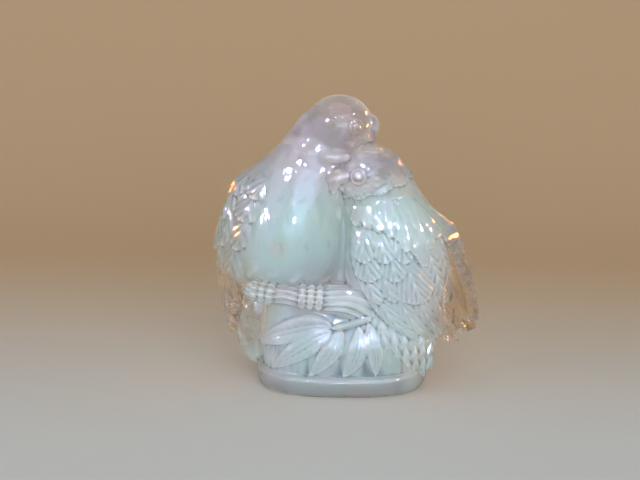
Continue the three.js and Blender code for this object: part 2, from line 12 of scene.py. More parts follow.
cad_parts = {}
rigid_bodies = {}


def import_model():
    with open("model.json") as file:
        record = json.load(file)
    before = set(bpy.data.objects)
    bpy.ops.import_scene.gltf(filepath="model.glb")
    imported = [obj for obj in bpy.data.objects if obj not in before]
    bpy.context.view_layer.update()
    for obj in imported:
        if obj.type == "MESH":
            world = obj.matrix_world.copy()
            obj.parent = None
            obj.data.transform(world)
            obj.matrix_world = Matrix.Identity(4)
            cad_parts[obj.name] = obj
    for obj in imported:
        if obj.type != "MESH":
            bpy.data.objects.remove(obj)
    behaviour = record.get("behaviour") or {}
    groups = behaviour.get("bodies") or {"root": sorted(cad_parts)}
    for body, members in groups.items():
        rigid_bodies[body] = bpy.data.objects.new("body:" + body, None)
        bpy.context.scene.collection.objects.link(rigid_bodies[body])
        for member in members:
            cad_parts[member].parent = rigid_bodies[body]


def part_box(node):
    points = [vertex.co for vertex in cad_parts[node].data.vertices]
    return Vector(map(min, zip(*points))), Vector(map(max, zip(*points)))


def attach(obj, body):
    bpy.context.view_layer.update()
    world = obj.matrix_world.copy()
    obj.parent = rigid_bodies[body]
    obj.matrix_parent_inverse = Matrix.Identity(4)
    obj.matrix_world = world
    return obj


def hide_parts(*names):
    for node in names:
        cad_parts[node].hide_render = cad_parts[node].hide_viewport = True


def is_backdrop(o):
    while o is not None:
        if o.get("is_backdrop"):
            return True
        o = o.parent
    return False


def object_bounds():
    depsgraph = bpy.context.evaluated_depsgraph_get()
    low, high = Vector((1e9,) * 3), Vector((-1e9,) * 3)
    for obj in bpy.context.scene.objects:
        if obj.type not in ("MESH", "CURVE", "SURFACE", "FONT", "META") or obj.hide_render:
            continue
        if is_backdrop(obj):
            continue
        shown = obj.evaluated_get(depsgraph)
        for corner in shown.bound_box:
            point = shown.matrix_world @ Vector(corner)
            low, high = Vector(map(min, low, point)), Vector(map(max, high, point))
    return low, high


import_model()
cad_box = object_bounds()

# The camera stands a little above the birds, almost square to their front, as it did for the photograph.
# Its place is worked out from the point it looks at and the figurine's height.
MM = 0.001
low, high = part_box("lovebirds")
HEIGHT = float(high[2] - low[2]) / MM
LOOKED_AT = Vector((-0.076 * HEIGHT, 0, 0.499 * HEIGHT)) * MM
CAMERA_DISTANCE = 4.1 * HEIGHT * MM
CAMERA_AZIMUTH = 3
CAMERA_ELEVATION = 15
CAMERA_ACROSS = 30


def toward(azimuth, elevation):
    turn, rise = math.radians(azimuth), math.radians(elevation)
    return Vector((math.sin(turn) * math.cos(rise), -math.cos(turn) * math.cos(rise), math.sin(rise)))


camera_way = toward(CAMERA_AZIMUTH, CAMERA_ELEVATION)
bpy.ops.object.camera_add(
    location=LOOKED_AT + CAMERA_DISTANCE * camera_way,
    rotation=camera_way.to_track_quat("Z", "Y").to_euler(),
)
camera = bpy.context.object
camera.data.angle = math.radians(CAMERA_ACROSS)
bpy.context.scene.camera = camera

# The stump is the figurine's foot: an oval block of glass with a rounded rim and a narrower wall above it.
# Its outline is drawn once and pulled up through the profile. A row is a height and two half-lengths.
STUMP_PROFILE = [
    (0, 26, 18.2),
    (0.5, 27.1, 19.2),
    (1.6, 27.8, 19.8),
    (3.6, 28, 20),
    (5.6, 28, 20),
    (6.5, 27.3, 19.3),
    (7, 26.2, 17.9),
    (16, 26.8, 17),
    (30, 25.4, 13.8),
    (35, 19, 9),
]
STUMP_SQUARENESS = 2.7
STUMP_SIDES = 160
WALL_MIDDLE = 15
forms = []


def oval(angle, long, deep):
    """Points of the stump's outline. An angle of 0 is the middle of the front, and it runs to the right."""
    x, y = np.sin(angle), -np.cos(angle)
    power = STUMP_SQUARENESS
    reach = (np.abs(x / long) ** power + np.abs(y / deep) ** power) ** (-1 / power)
    return x * reach, y * reach


def stump_size(height):
    """The two half-lengths of the stump at a height."""
    heights, longs, deeps = np.array(STUMP_PROFILE).T
    return np.interp(height, heights, longs), np.interp(height, heights, deeps)


def shape(form, place):
    """Moves each point of a form to where place puts it, in millimetres, and keeps the form."""
    points = np.empty(3 * len(form.data.vertices))
    form.data.vertices.foreach_get("co", points)
    moved = np.stack(np.broadcast_arrays(*place(*points.reshape(-1, 3).T)), axis=1)
    form.data.vertices.foreach_set("co", (moved * MM).ravel())
    form.data.update()
    forms.append(form)


bpy.ops.object.select_all(action="DESELECT")
bpy.ops.mesh.primitive_circle_add(vertices=STUMP_SIDES, radius=1, fill_type="NGON")
stump = bpy.context.object
stump.name = "stump"
bpy.ops.object.mode_set(mode="EDIT")
bpy.ops.mesh.select_all(action="SELECT")
levels = [row[0] for row in STUMP_PROFILE]
for lower, upper in zip(levels, levels[1:]):
    bpy.ops.mesh.extrude_region_move(TRANSFORM_OT_translate={"value": (0, 0, upper - lower)})
bpy.ops.object.mode_set(mode="OBJECT")
shape(stump, lambda x, y, z: (*oval(np.arctan2(x, -y), *stump_size(z)), z))

# A spray of leaves stands in relief on the stump's wall, and a plainer one on its back. A leaf is a flat slab
# bent onto the wall, with a midrib, veins and two rounded halves. Places on the wall are millimetres round
# it from the middle of the front to the right, and the height.
FRONT_STEM = [(11, 26), (3, 23.6), (-3, 22.6)]
FRONT_LEAVES = [
    {"root": (-3, 23), "bend": (-15, 24), "tip": (-29, 14.6), "half": 4.2},
    {"root": (-3, 21.4), "bend": (-12, 17), "tip": (-22, 8), "half": 3.7},
    {"root": (0.6, 22), "bend": (-2, 15), "tip": (-9.4, 7), "half": 3.2},
    {"root": (6.6, 23), "bend": (7, 14), "tip": (1, 7), "half": 3.1},
    {"root": (10, 24), "bend": (12, 16), "tip": (11, 7.4), "half": 2.8},
]
BACK_STEM = [(58, 25), (66, 23.6), (72, 22)]
BACK_LEAVES = [
    {"root": (72, 22.4), "bend": (82, 26), "tip": (94, 15), "half": 4},
    {"root": (70, 22), "bend": (77, 16), "tip": (84, 7.6), "half": 3.8},
    {"root": (65, 22.4), "bend": (65, 15), "tip": (68, 7), "half": 3.6},
    {"root": (59, 24), "bend": (53, 18), "tip": (50, 8), "half": 3.6},
]
LEAF_RELIEF = 1.7
LEAF_SUNK = 1.5
VEIN_SPACING = 2.2
VEIN_DEPTH = 0.05
TURN = 2 * np.pi

wall_angles = np.linspace(0, TURN, 721)
wall_outline = np.stack(oval(wall_angles, *stump_size(WALL_MIDDLE)), axis=1)
wall_lengths = np.append(0, np.cumsum(np.linalg.norm(np.diff(wall_outline, axis=0), axis=1)))


def smooth_line(rows):
    """A smooth line through rows of numbers. It takes shares of the way, from 0 to 1."""
    knots = np.array(rows, float)
    knots = np.vstack([2 * knots[0] - knots[1], knots, 2 * knots[-1] - knots[-2]])
    last = len(rows) - 1

    def at(share):
        share = np.asarray(share, float)
        i = np.clip(np.floor(share * last).astype(int), 0, last - 1)
        t = (share * last - i)[..., None]
        before, here, after, beyond = (knots[i + k] for k in range(4))
        leaving, arriving, rise = (after - before) / 2, (beyond - here) / 2, after - here
        bend = 3 * rise - 2 * leaving - arriving + t * (leaving + arriving - 2 * rise)
        return here + t * (leaving + t * bend)

    return at


def unit(vectors):
    """The same vectors with a length of 1."""
    return vectors / np.linalg.norm(vectors, axis=-1, keepdims=True)


def raised(point_at, out_at, small, a, b, height):
    """Points of a curved sheet, raised off it by a height. The sheet's outer side is where out_at points."""
    along_a = point_at(a + small, b) - point_at(a - small, b)
    along_b = point_at(a, b + small) - point_at(a, b - small)
    normal = unit(np.cross(along_a, along_b))
    side = np.sign(np.sum(normal * out_at(a, b), axis=-1))
    return point_at(a, b) + normal * (side * height)[..., None]


def wall_point(way, height):
    """A point of the stump's wall."""
    angle = np.interp(way % wall_lengths[-1], wall_lengths, wall_angles)
    return np.stack([*oval(angle, *stump_size(height)), height], axis=-1)


def wall(way, height, rise):
    """Points that stand off the stump's wall."""
    return raised(wall_point, lambda a, b: wall_point(a, b) * (1, 1, 0), 0.2, way, height, rise)


def slab(name, lengthwise, crosswise):
    """A flat slab from -1 to 1 each way. Its top is at 0 and its underside at -1."""
    bpy.ops.object.select_all(action="DESELECT")
    bpy.ops.mesh.primitive_grid_add(x_subdivisions=lengthwise, y_subdivisions=crosswise, size=2)
    bpy.ops.object.mode_set(mode="EDIT")
    bpy.ops.mesh.select_all(action="SELECT")
    bpy.ops.mesh.extrude_region_move(TRANSFORM_OT_translate={"value": (0, 0, -1)})
    bpy.ops.object.mode_set(mode="OBJECT")
    bpy.context.object.name = name
    return bpy.context.object


def blade(form, middle_at, half_at, height_at):
    """Bends a slab onto the wall, along a line, with a half-width and a height at each of its points."""

    def place(x, y, z):
        share = (x + 1) / 2
        way, height = middle_at(share).T
        back, ahead = middle_at(share - 0.02), middle_at(share + 0.02)
        run = unit(ahead - back) * half_at(share)[:, None]
        rise = np.where(z < -0.5, -LEAF_SUNK, height_at(share, y))
        return wall(way - y * run[:, 1], height + y * run[:, 0], rise).T

    shape(form, place)


def leaf(name, root, bend, tip, half, plain):
    """One leaf, from its root over its bend to its tip."""
    root, bend, tip = (np.array(point, float) for point in (root, bend, tip))
    length = np.linalg.norm(tip - root)

    def middle_at(share):
        share = share[:, None]
        return (1 - share) ** 2 * root + 2 * share * (1 - share) * bend + share**2 * tip

    def half_at(share):
        return half * np.maximum(0.1, np.sin(np.pi * np.clip(share, 0, 1) ** 0.85) ** 0.7)

    def height_at(share, side):
        full = LEAF_RELIEF * (0.55 + 0.45 * np.sin(np.pi * np.clip(share, 0, 1)))
        side = np.abs(side)
        if plain:
            return full * (1 - 0.55 * side)
        halves = np.interp(side, [0, 0.1, 0.5, 0.85, 1], [0.84, 0.78, 1, 0.85, 0.35])
        midrib = 0.16 * np.exp(-((side / 0.09) ** 2))
        vein = np.cos(TURN * (share * length - 0.9 * side * half) / VEIN_SPACING)
        return full * (halves + midrib) + VEIN_DEPTH * vein * np.sin(np.pi * side)

    blade(slab(name, 64, 26), middle_at, half_at, height_at)


def stem(name, points):
    """The twig that the leaves grow from. It narrows and sinks toward its end."""

    def half_at(share):
        return 0.15 + 0.95 * np.clip(4 * (1 - share), 0, 1) ** 0.5

    def height_at(share, side):
        return LEAF_RELIEF * (1.25 - 0.45 * side**2) * (0.7 + 0.3 * np.clip(5 * (1 - share), 0, 1))

    blade(slab(name, 40, 8), smooth_line(points), half_at, height_at)


for number, spec in enumerate(FRONT_LEAVES):
    leaf(f"front_leaf_{number}", **spec, plain=False)
for number, spec in enumerate(BACK_LEAVES):
    leaf(f"back_leaf_{number}", **spec, plain=True)
stem("front_stem", FRONT_STEM)
stem("back_stem", BACK_STEM)

# The branch that the birds grip is a rough round bar, ribbed with bark and worn at its left end.
# It is drawn from a ball whose rings are laid along the branch's line: x, y, z and radius.
BRANCH_LINE = [
    (-30.5, -10.5, 33.4, 2.7),
    (-22, -14, 33, 3.1),
    (-11, -15.4, 32.4, 3.5),
    (0, -14.6, 31, 4.3),
    (9, -10.5, 27.6, 5.2),
]
BRANCH_END = 0.06
BRANCH_WORN_END = 0.72
BARK_DEPTH = 0.35
BARK_RIBS = 11
branch_line = smooth_line(BRANCH_LINE)


def ball(name, sides, rings):
    """A ball with a radius of 1, whose poles are up and down."""
    bpy.ops.object.select_all(action="DESELECT")
    bpy.ops.mesh.primitive_uv_sphere_add(segments=sides, ring_count=rings, radius=1)
    bpy.context.object.name = name
    return bpy.context.object


def wrap(form, place):
    """Shapes a ball by where a point is from the low pole at 0 to the high one at 1, and its angle round."""
    shape(form, lambda x, y, z: place(np.arccos(np.clip(-z, -1, 1)) / np.pi, np.arctan2(y, x)).T)


def branch_frame(share):
    """The branch's middle, and the ways along it, out to the front and up, and its radius."""
    spot = branch_line(share)
    along = unit(branch_line(share + 0.02)[..., :3] - branch_line(share - 0.02)[..., :3])
    outward = unit(np.cross(along, (0, 0, 1)))
    return spot[..., :3], along, outward, np.cross(outward, along), spot[..., 3:]


def branch_place(share, angle):
    """A point of the branch. Both ends are flat, and the left one is worn round."""
    run = np.clip((share - BRANCH_END) / (1 - 2 * BRANCH_END), 0, 1)
    middle, _, outward, upward, radius = branch_frame(run)
    closing = np.minimum(1, np.minimum(share, 1 - share) / BRANCH_END)
    worn = np.interp(run, [0, 0.05], [BRANCH_WORN_END, 1])
    knots = 0.5 * np.sin(9 * run + 2 * np.sin(angle))
    bark = BARK_DEPTH * np.cos(BARK_RIBS * angle + 2.2 * np.sin(14 * run) + knots)
    reach = ((radius[:, 0] + bark) * worn * closing)[:, None]
    return middle + reach * (outward * np.cos(angle)[:, None] + upward * np.sin(angle)[:, None])


wrap(ball("branch", 96, 140), branch_place)

# Two feet hold the branch, each with three toes in front that curl over it. A toe is ringed with scales.
# The feet's places are shares of the branch, and the toes stand beside each other along it.
FEET = [0.2, 0.54]
TOES = [-2.7, 0, 2.7]
TOE_RADIUS = 1.45
TOE_TOP = math.radians(109)
TOE_TIP = math.radians(-43)
TOE_SCALE_SPACING = 1.3
TOE_SCALE_DEPTH = 0.26


def toe_place(foot, aside):
    """Where the points of one toe go."""
    middle, along, outward, upward, radius = branch_frame(foot)
    scales = abs(TOE_TIP - TOE_TOP) * radius[0] / TOE_SCALE_SPACING

    def place(share, angle):
        curl = TOE_TOP + (TOE_TIP - TOE_TOP) * share
        away = outward * np.cos(curl)[:, None] + upward * np.sin(curl)[:, None]
        thick = TOE_RADIUS * np.sqrt(np.maximum(0, 1 - np.abs(2 * share - 1) ** 5))
        thick = thick + TOE_SCALE_DEPTH * np.cos(TURN * scales * share) * np.sin(np.pi * share)
        sideways = (aside + 0.85 * thick * np.sin(angle))[:, None]
        return middle + along * sideways + away * (radius + 0.35 + (thick * np.cos(angle))[:, None])

    return place


for foot in FEET:
    for aside in TOES:
        wrap(ball(f"toe_{foot}_{aside}", 20, 48), toe_place(foot, aside))

# The two bodies stand side by side, one square to the viewer and one turned to its right. A body's line
# gives x, y, z, half the width from wing to wing and half the depth from breast to back, and soft breast
# feathers swell all over it. Two eggs of glass close the gaps beside the bodies.
FRONT_TORSO = {
    "turn": 12,
    "line": [
        (-17.8, 1.5, 31, 16, 13),
        (-16.8, -0.6, 40, 17.6, 15.8),
        (-15.5, -1, 52, 17, 16.4),
        (-13.3, -0.5, 64, 15.4, 14.4),
        (-10.2, 0.2, 74, 14.2, 12.6),
        (-6, 0.2, 82, 11.4, 11.2),
        (-2, -0.2, 90, 9.4, 9.4),
    ],
}
SIDE_TORSO = {
    "turn": -70,
    "line": [
        (20.5, -4, 14, 9.5, 10.5),
        (19, -3, 26, 12, 14),
        (17.6, -2.6, 38, 13.4, 17),
        (16, -2.4, 50, 12.4, 16),
        (12.6, -2.8, 62, 10.8, 12.6),
        (10.2, -3.8, 71, 9.4, 9.8),
        (8.8, -4.6, 79, 8, 8),
    ],
}
WEBS = {"web_between": ((0.5, 1, 44), (9, 9, 24)), "web_below": ((-28.5, 4, 19), (7, 8, 16))}
TORSO_GIRTH = 16
BREAST_FEATHER = 7.5
BREAST_RELIEF = 0.3


def feathers(across, along, soft, drop=0.35):
    """How high overlapping round feathers stand, from 0 to 1. Both measures are counted in feathers, and the
    tips point the way that along grows. Soft feathers swell, and the others rise to a crisp tip."""
    tops = []
    for late in (0, 1):
        side = 2 * ((across + 0.5 * late) % 1) - 1
        since_tip = ((along - late) / 2 + drop * side**2) % 1
        rise = np.sin(np.pi * since_tip) if soft else since_tip**1.3
        tops.append(rise * (1 - 0.6 * side**2))
    return np.maximum(*tops)


def torso_point(line, turn, share, angle, proud=0, filled=1):
    """Points of a torso, which closes in roundly at both ends. An angle of 0 is the breast. They can
    stand proud of it, or fill only part of its width."""
    body_line = smooth_line(line)
    wingward = np.array([math.cos(math.radians(turn)), math.sin(math.radians(turn)), 0])
    upward = unit(body_line(share + 0.02)[:, :3] - body_line(share - 0.02)[:, :3])
    breastward = np.cross(np.broadcast_to(wingward, upward.shape), upward)
    spot = body_line(share)
    ends = np.maximum(0, np.maximum(1 - share / 0.3, (share - 0.8) / 0.2))
    closing = np.sqrt(np.maximum(0, 1 - ends**3))
    across = (filled * closing * spot[:, 3] + proud) * np.sin(angle)
    ahead = (filled * closing * spot[:, 4] + proud) * np.cos(angle)
    return spot[:, :3] + wingward * across[:, None] + breastward * ahead[:, None]


def torso(name, line, turn):
    """A body, from its rump up to its neck."""
    tall = line[-1][2] - line[0][2]

    def place(share, angle):
        share = (1 - np.cos(np.pi * share)) / 2
        bent = angle + 0.12 * np.sin(17 * share)
        down = -share * tall / (0.8 * BREAST_FEATHER)
        swell = feathers(bent * TORSO_GIRTH / BREAST_FEATHER, down, soft=True)
        shown = np.clip(6 * share, 0, 1) * np.clip(6 * (1 - share), 0, 1)
        return torso_point(line, turn, share, angle, BREAST_RELIEF * (swell - 0.5) * shown)

    wrap(ball(name, 120, 120), place)


def egg(name, centre, size, sides=40, rings=28, filled=1):
    """An egg of glass round a centre. It can fill only part of its size."""
    shape(ball(name, sides, rings), lambda x, y, z: (np.stack([x, y, z]).T * size * filled + centre).T)


torso("front_torso", **FRONT_TORSO)
torso("side_torso", **SIDE_TORSO)
for name, (centre, size) in WEBS.items():
    egg(name, centre, size)

# The heads are eggs of glass. Each has round ringed eyes, a blunt hooked beak over a small jaw, and tiny
# feathers that lie back from the face, and an egg fills the nape and another the fold of the throat. Sizes
# are half-lengths along the beak, across and up.
FRONT_HEAD = {
    "centre": (-1.4, -0.6, 84.6), "size": (11.4, 10.6, 10.4), "turn": 80, "tilt": -16, "nod": 0,
    "beak_base": 0.66, "beak_long": 1, "beak_high": 1,
}
SIDE_HEAD = {
    "centre": (8.6, -5.2, 70.6), "size": (10, 9.6, 9.8), "turn": -66, "tilt": -8, "nod": 6,
    "beak_base": 0.74, "beak_long": 1.45, "beak_high": 0.85,
}
FOLDS = {"nape": ((-6.6, 0, 82), (9.6, 9.4, 9)), "throat_fold": ((-2, -9.8, 76.8), (5.2, 3, 2.1))}
EYE_PLACE = (0.6, 0.68, 0.16)
EYE_PROFILE = [(0, -0.8), (2.5, -0.8), (2.6, 0.9), (2, 1.35), (1.6, 1.05), (1.3, 1.6), (0.5, 2.1), (0, 2.15)]
BEAK_LINE = [
    (0, 1.8, 3.5, 3.4),
    (2.8, 1.4, 3.2, 3),
    (3.4, -1.4, 2.3, 1.9),
    (3.8, -4.3, 0.6, 0.5),
]
JAW_PLACE = (0.8, -0.22)
JAW_SIZE = (2.6, 2.3, 2.4)


def frame_of(centre, turn, nod):
    """The frame of a head: X is ahead, turned about Z from the front, and then nodded down."""
    turned = Matrix.Rotation(math.radians(turn - 90), 4, "Z")
    return np.array(Matrix.Translation(centre) @ turned @ Matrix.Rotation(math.radians(nod), 4, "Y"))


def carried(place, points):
    """Points of a frame, as points of the whole."""
    return points @ place[:3, :3].T + place[:3, 3]


def skull(name, head, feather, relief):
    """The egg of a head, with small feathers that grow back from the beak."""
    place = frame_of(head["centre"], head["turn"], head["tilt"])
    size = np.array(head["size"])

    def put(x, y, z):
        face = np.arccos(np.clip(x, -1, 1))
        count = np.round(TURN * size[0] / feather)
        rows = feathers(np.arctan2(z, y) * count / TURN, face * size[0] / (1.6 * feather), soft=False)
        shown = np.sin(face) * np.clip(4 * (face - 0.6), 0, 1)
        grown = 1 + relief * (rows - 0.5) * shown / size[0]
        return carried(place, np.stack([x, y, z], axis=1) * size * grown[:, None]).T

    shape(ball(name, 150, 120), put)


def eye(name, head, side):
    """One eye: a ring, a groove and the ball within, round an axis that looks outward."""
    ahead, aside, up = EYE_PLACE
    outward = Vector((ahead, 1.5 * side * aside, up)).normalized()
    facing = np.array(Vector((0, 0, 1)).rotation_difference(outward).to_matrix())
    spot = np.array([ahead, side * aside, up]) * head["size"]
    profile = smooth_line(EYE_PROFILE)

    def place(share, angle):
        radius, height = np.maximum(profile(share), (0, -1)).T
        points = np.stack([radius * np.cos(angle), radius * np.sin(angle), height], axis=1)
        return carried(frame_of(head["centre"], head["turn"], head["nod"]), points @ facing.T + spot)

    wrap(ball(name, 40, 56), place)


def beak(name, head):
    """The hooked beak. A row of its line is how far ahead, how far up, the half-width and the half-height."""
    long, high = head["beak_long"], head["beak_high"]
    hook = smooth_line(np.array(BEAK_LINE) * (long, high, long, high))
    base = head["beak_base"] * head["size"][0]

    def place(share, angle):
        run = np.clip((share - 0.08) / 0.84, 0, 1)
        closing = np.sqrt(1 - (1 - np.minimum(1, np.minimum(share, 1 - share) / 0.08)) ** 2)
        x, z, wide, deep = hook(run).T
        lean = np.arctan2(*(hook(run + 0.03) - hook(run - 0.03)).T[[1, 0]])
        rise = closing * deep * np.sin(angle)
        across = closing * wide * np.cos(angle)
        points = np.stack([base + x - rise * np.sin(lean), across, z + rise * np.cos(lean)], axis=1)
        return carried(frame_of(head["centre"], head["turn"], head["nod"]), points)

    wrap(ball(name, 40, 50), place)


def head_parts(name, head, feather, relief):
    """A head with its eyes, its beak and its jaw."""
    skull(f"{name}_skull", head, feather, relief)
    eye(f"{name}_left_eye", head, -1)
    eye(f"{name}_right_eye", head, 1)
    beak(f"{name}_beak", head)
    length = head["size"][0]
    spot = (JAW_PLACE[0] * length, 0, JAW_PLACE[1] * length)
    jaw = frame_of(head["centre"], head["turn"], head["nod"])
    shape(
        ball(f"{name}_jaw", 24, 16),
        lambda x, y, z: carried(jaw, np.stack([x, y, z], axis=1) * JAW_SIZE + spot).T,
    )


head_parts("front_head", FRONT_HEAD, 3.4, 0.2)
head_parts("side_head", SIDE_HEAD, 1.9, 0.4)
for name, (centre, size) in FOLDS.items():
    egg(name, centre, size, sides=48, rings=32)

# The short feathers round each neck are a collar that follows the torso and comes to stand proud of it at a
# scalloped lip. Its shares of the torso's line are its top, its lip at the breast, and how much lower the
# lip is towards one wing.
COLLARS = {
    "front_collar": {
        "torso": FRONT_TORSO, "top": 0.94, "lip": 0.735, "lean": 0.08, "proud": 0.6, "scallops": 9,
        "feather": 3.4, "relief": 0.2,
    },
    "side_collar": {
        "torso": SIDE_TORSO, "top": 0.94, "lip": 0.77, "lean": 0, "proud": 0.8, "scallops": 9,
        "feather": 1.9, "relief": 0.4,
    },
}
COLLAR_RADIUS = 12


def collar(name, torso, top, lip, lean, proud, scallops, feather, relief):
    """One collar, drawn down the torso from its top to its lip, and turned in under itself."""
    tall = torso["line"][-1][2] - torso["line"][0][2]

    def place(share, angle):
        down = np.clip((1 - share - 0.04) / 0.86, 0, 1.02)
        end = lip - lean * np.sin(angle) - 0.022 * np.abs(np.cos(scallops * angle / 2))
        count = np.round(TURN * COLLAR_RADIUS / feather)
        along = top + (end - top) * down
        rows = feathers(angle * count / TURN, -along * tall / (1.6 * feather), soft=False)
        out = proud * (0.2 + 0.8 * down) + relief * (rows - 0.5) * np.clip(4 * down, 0, 1)
        under = np.interp(1 - share, [0, 0.04, 0.9, 0.94, 1], [-9, 0, 0, -2.2, -9])
        return torso_point(**torso, share=along, angle=angle, proud=out + under)

    wrap(ball(name, 170, 110), place)


for name, spec in COLLARS.items():
    collar(name, **spec)

# Each wing is a curved sheet of glass between a leading and a trailing edge, from the shoulder to the tip.
# Its feathers lie over it in rows. A row has its root and the tip of each feather as shares of the wing's
# length, the part of the wing it spans, how far the scallops drop back, and how proud the tips stand. The
# mantle's feathers are nearly flat, and end in one crisp lip.
WING_ROWS = [
    {"root": 0.14, "tips": [0.29, 0.31, 0.34], "across": (0.02, 0.62), "drop": 0.04, "lift": 0.8},
    {"root": 0.26, "tips": [0.41, 0.44], "across": (0, 0.5), "drop": 0.05, "lift": 1},
    {"root": 0.34, "tips": [0.56, 0.57], "across": (0.01, 0.34), "drop": 0.05, "lift": 1},
    {"root": 0.34, "tips": [0.63], "across": (0.3, 0.74), "drop": 0.07, "lift": 1.6},
    {"root": 0.28, "tips": [0.7, 0.72], "across": (0.72, 1.01), "drop": 0.06, "lift": 1.4},
    {"root": 0.48, "tips": [0.86, 0.92, 0.96, 1, 0.97], "across": (0.01, 1), "drop": 0.07, "lift": 1.2},
]
MANTLE_ROW = {
    "root": 0, "tips": [0.13, 0.14, 0.16, 0.19, 0.27, 0.39, 0.3, 0.26], "across": (0, 1), "drop": 0.02,
    "lift": 1.8, "rounded": 0.14,
}
PLAIN_WING_ROWS = [
    {"root": 0.02, "tips": [0.28, 0.31, 0.32], "across": (0.02, 0.98), "drop": 0.05, "lift": 1.1},
    {"root": 0.24, "tips": [0.51, 0.56, 0.58], "across": (0.01, 0.99), "drop": 0.06, "lift": 1.1},
    {"root": 0.46, "tips": [0.92, 0.98, 1, 0.96], "across": (0.01, 1), "drop": 0.09, "lift": 1.2},
]
WINGS = {
    "front_outer_wing": {
        "lead": [(-14, -9, 77), (-20.5, -12, 64), (-28.6, -11.5, 49), (-33.2, -7, 34), (-33.4, -2, 12)],
        "trail": [(-12, 7, 78), (-19, 11, 67), (-26.8, 15, 50), (-31.2, 13, 33), (-30.6, 5, 9)],
        "out": (-1, 0.08, 0.1), "bulge": 15.6, "rows": WING_ROWS,
    },
    "front_inner_wing": {
        "lead": [(-1, 6.5, 75), (4, 9, 62), (4, 11, 50), (0, 13, 38), (-14, 15, 20)],
        "trail": [(-8, 9, 77), (-9, 15, 64), (-11, 16.5, 50), (-14, 17, 36), (-19, 15.5, 20)],
        "out": (0.45, 0.9, 0), "bulge": 3, "rows": PLAIN_WING_ROWS,
    },
    "side_near_wing": {
        "lead": [(4.6, -9, 66), (3.6, -13.5, 46), (8, -16, 33.5), (17, -15.5, 22.5), (31, -12, 14)],
        "trail": [(20.5, -8.5, 66), (31, -11.5, 53), (34.5, -9, 42), (37, -8, 30), (39.5, -7.5, 18)],
        "out": (0.22, -1, 0.05), "bulge": 7, "rows": [MANTLE_ROW, *WING_ROWS],
    },
    "side_far_wing": {
        "lead": [(9, 7.5, 65), (10, 13.5, 50), (15, 13.5, 38), (24, 12, 26), (39.5, 3, 13.5)],
        "trail": [(22.5, -6, 64.5), (35.8, -3, 53.5), (40.4, -1, 43), (43.6, 0.5, 31), (45.4, 0.8, 18.8)],
        "out": (0.62, 0.78, 0.05), "bulge": 6.6, "rows": PLAIN_WING_ROWS,
    },
}
WING_THICKNESS = (10, 3.6)
BARB_SPACING = 1.5
BARB_DEPTH = 0.21
SHAFT_HEIGHT = 0.3


def fan(lead, trail, out, bulge):
    """The sheet between two edges, as a function that raises its points, and the way it bulges."""
    front, back = smooth_line(lead), smooth_line(trail)
    away = unit(np.array(out, float))

    def point_at(u, v):
        rise = bulge * 4 * v * (1 - v) * np.minimum(1, 0.5 + 2 * u) * (1 - 0.8 * u * u)
        start = front(u)
        return start + (back(u) - start) * v[..., None] + away * rise[..., None]

    def sheet(u, v, height):
        return raised(point_at, lambda a, b: away, 0.01, u, v, height)

    return sheet, away


def tips_at(v, tips, across, drop):
    """Where a row of feathers ends, with a scallop at each tip. The feather that a point is in, and how far
    aside from its shaft the point is, come with it."""
    tips = np.array(tips)
    place = (v - across[0]) / (across[1] - across[0]) * len(tips)
    own = np.clip(np.floor(place), 0, len(tips) - 1).astype(int)
    side = np.clip(2 * (place - own) - 1, -1, 1)
    beside = np.clip(own + np.sign(side).astype(int), 0, len(tips) - 1)
    shared = np.clip(2 * np.abs(side) - 1, 0, 1) / 2
    return tips[own] * (1 - shared) + tips[beside] * shared - drop * side**2, place, side


def feather_row(u, v, length, width, root, tips, across, drop, lift, rounded=0.65):
    """How high one row of feathers stands over a sheet, or -1 where it doesn't reach. A feather is highest
    along its shaft and at its tip, and fine barbs run out from the shaft."""
    tip, place, side = tips_at(v, tips, across, drop)
    share = (u - root) / (tip - root)
    rise = lift * (1 - rounded * side**2)
    bend = 0.6 if max(tips) - root > 0.25 else 0.5
    near_root = -0.2 + (bend * rise + 0.2) * 2 * share
    height = np.where(share < 0.5, near_root, rise * (2 * share - 1 + bend * (2 - 2 * share)))
    from_shaft = np.abs(side) * width * (across[1] - across[0]) / len(tips) / 2
    streaks = 1 if rounded > 0.5 else 0.3
    barbs = np.cos(TURN * (from_shaft - 0.35 * (u - root) * length) / BARB_SPACING)
    shown = np.clip(4 * share, 0, 1)
    height = height + shown * streaks * BARB_DEPTH * barbs * np.clip(2 * from_shaft, 0, 1)
    height = height + shown * streaks * SHAFT_HEIGHT * np.exp(-((from_shaft / 0.45) ** 2))
    reached = (place >= 0) & (place <= len(tips)) & (share >= 0) & (share <= 1.001)
    return np.where(reached, height, -1)


def feathered(name, cells, thickness, rows, lead, trail, out, bulge):
    """A wing or a tail: a slab bent to its sheet, with its rows of feathers raised on the outer side. It ends
    at the tips of the last row."""
    sheet, away = fan(lead, trail, out, bulge)
    length = np.linalg.norm(np.subtract(lead[0], lead[-1]))
    width = np.linalg.norm(np.subtract(lead[1], trail[1]))
    last = rows[-1]

    def place(x, y, z):
        v = (y + 1) / 2
        u = (x + 1) / 2 * tips_at(v, last["tips"], last["across"], last["drop"])[0]
        height = np.zeros_like(u)
        for row in rows:
            height = np.maximum(height, feather_row(u, v, length, width, **row))
        outer = sheet(u, v, np.where(z < -0.5, 0, height))
        deep = np.where(z < -0.5, thickness[0] + (thickness[1] - thickness[0]) * u, 0)
        return (outer - away * deep[:, None]).T

    shape(slab(name, *cells), place)


for name, spec in WINGS.items():
    feathered(name, (190, 90), WING_THICKNESS, **spec)

